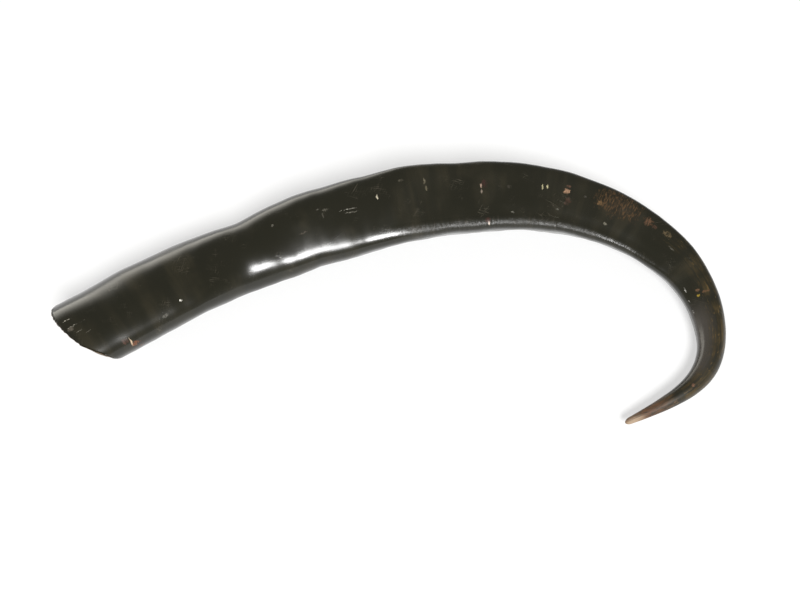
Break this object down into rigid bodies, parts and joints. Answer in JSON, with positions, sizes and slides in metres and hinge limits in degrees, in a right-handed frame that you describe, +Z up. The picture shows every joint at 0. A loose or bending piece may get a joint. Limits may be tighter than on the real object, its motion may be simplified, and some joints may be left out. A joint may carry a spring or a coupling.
{
  "type": "water buffalo horn",
  "caption": "Long black polished horn lying on its side: hollow and sawn off slantwise at the base, tapering and hooking round to a pale worn tip.",
  "frame": {"origin": "on the surface that the horn lies on, under the middle of its box", "axes": "+X from the sawn base along the straighter part of the horn, -Y towards the side it hooks round to, +Z up from the surface it lies on"},
  "size_m": [0.5162, 0.3538, 0.0638],
  "materials": {
    "horn": "gloss"
  },
  "bodies": {
    "root": {"horn": "horn"}
  },
  "joints": []
}
